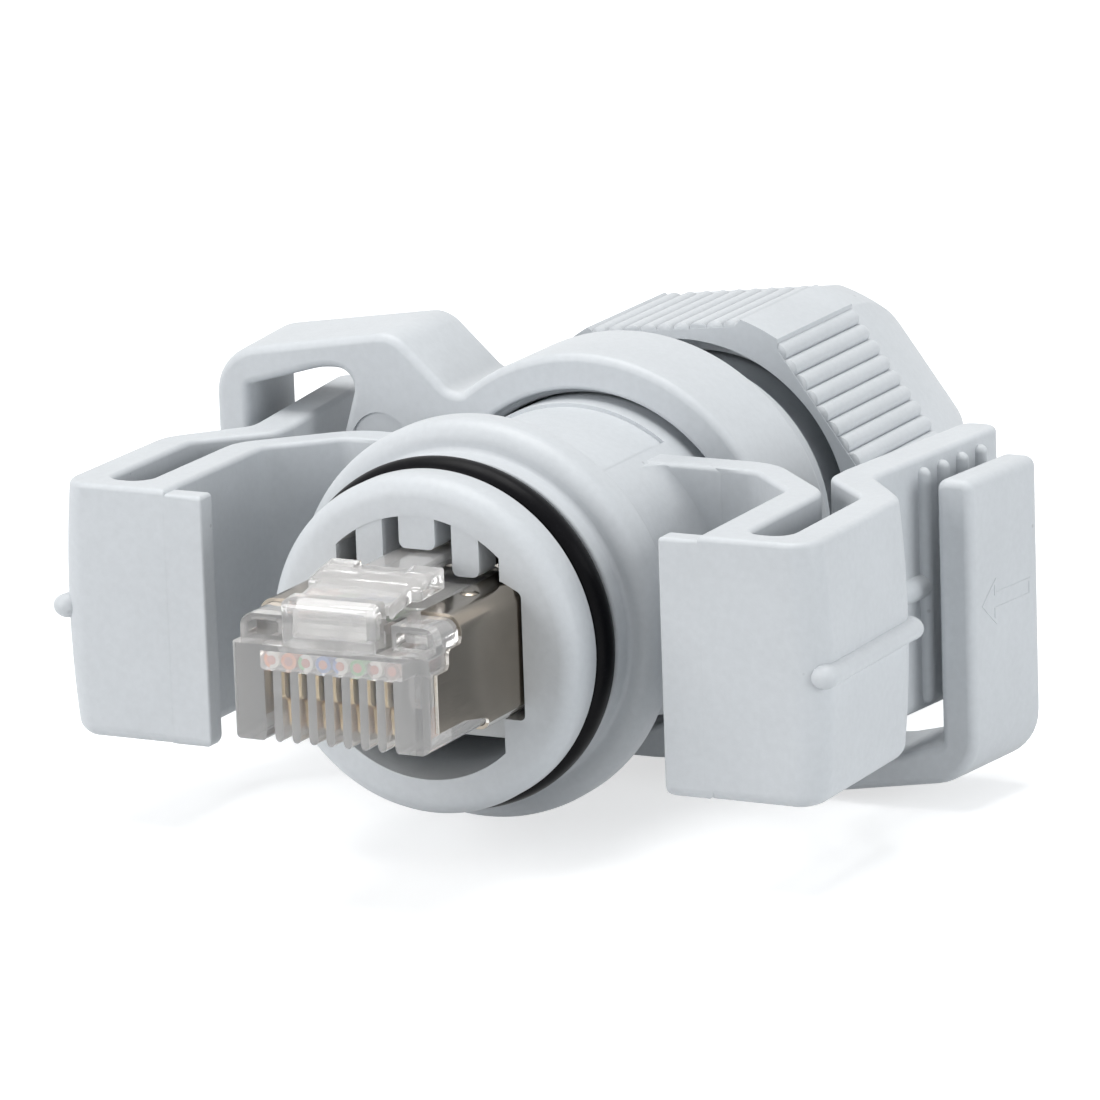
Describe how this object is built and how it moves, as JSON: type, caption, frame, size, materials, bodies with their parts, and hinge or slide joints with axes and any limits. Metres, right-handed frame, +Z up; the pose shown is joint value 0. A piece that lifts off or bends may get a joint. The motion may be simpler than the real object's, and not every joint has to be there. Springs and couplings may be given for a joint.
{
  "type": "field termination ethernet plug",
  "caption": "Round sealed network plug with a clear modular plug in its nose, squeezed side latch arms, a sliding locking collar with guards and a ribbed domed cable gland nut.",
  "frame": {"origin": "on the plug's axis, in the plane of the flange face that meets the socket", "axes": "-Y out of the nose towards the socket, +Y along the axis to the cable end, +X to the right seen from the front, +Z up on the tab's side"},
  "size_m": [0.0484, 0.0651, 0.0246],
  "materials": {
    "grey_plastic": "satin, fine moulded grain",
    "cradle_plastic": "satin",
    "black_rubber": "glossy, lubricated",
    "dark_plastic": "matt",
    "clear_plastic": "clear, polished",
    "nickel_plate": "bright, thin sheet",
    "gold_plate": "polished",
    "wire_orange": "smooth insulation",
    "wire_blue": "smooth insulation",
    "wire_green": "smooth insulation",
    "wire_brown": "smooth insulation",
    "wire_white_orange": "smooth insulation, pale",
    "wire_white_green": "smooth insulation, pale",
    "wire_white_blue": "smooth insulation, pale",
    "wire_white_brown": "smooth insulation, pale"
  },
  "bodies": {
    "housing": {"plug_housing": "grey_plastic", "nose_o_ring": "black_rubber", "clamp_cage": "dark_plastic", "cable_seal": "black_rubber", "plug_cradle": "cradle_plastic", "plug_body": "clear_plastic", "plug_shield": "nickel_plate", "load_bar": "clear_plastic", "contact_1": "gold_plate", "contact_2": "gold_plate", "contact_3": "gold_plate", "contact_4": "gold_plate", "contact_5": "gold_plate", "contact_6": "gold_plate", "contact_7": "gold_plate", "contact_8": "gold_plate", "conductor_1": "wire_white_orange", "conductor_2": "wire_orange", "conductor_3": "wire_white_green", "conductor_4": "wire_blue", "conductor_5": "wire_white_blue", "conductor_6": "wire_green", "conductor_7": "wire_white_brown", "conductor_8": "wire_brown"},
    "right_arm": {"latch_arm_right": "grey_plastic"},
    "left_arm": {"latch_arm_left": "grey_plastic"},
    "collar": {"locking_ring": "grey_plastic"},
    "clamp": {"thrust_ring": "dark_plastic"},
    "nut": {"gland_nut": "grey_plastic"},
    "tab": {"plug_tab": "clear_plastic"}
  },
  "joints": [
    {"name": "ring_slide", "type": "slide", "parent": "housing", "child": "collar", "axis": [0, 1, 0], "range_m": [-0.0016, 0.0054]},
    {"name": "latch_right", "type": "hinge", "parent": "housing", "child": "right_arm", "pos_m": [0.0106, 0.01085, 0], "axis": [0, 0, 1], "range_deg": [0, 8.4], "stiffness_Nm_per_rad": 0.05},
    {"name": "latch_left", "type": "hinge", "parent": "housing", "child": "left_arm", "pos_m": [-0.0106, 0.01085, 0], "axis": [0, 0, -1], "range_deg": [0, 8.4], "stiffness_Nm_per_rad": 0.05},
    {"name": "tab_press", "type": "hinge", "parent": "housing", "child": "tab", "pos_m": [0, -0.014, 0.00423], "axis": [-1, 0, 0], "range_deg": [0, 2.5], "stiffness_Nm_per_rad": 0.0005, "springref_deg": -1.15},
    {"name": "clamp_slide", "type": "slide", "parent": "housing", "child": "clamp", "axis": [0, 1, 0], "range_m": [0, 0.00305]},
    {"name": "nut_turn", "type": "hinge", "parent": "clamp", "child": "nut", "pos_m": [0, 0.044, 0], "axis": [0, 1, 0], "range_deg": [0, 720]}
  ],
  "couplings": [
    {"joint": "clamp_slide", "follows": "nut_turn", "m_per_rad": 0.00023873}
  ]
}
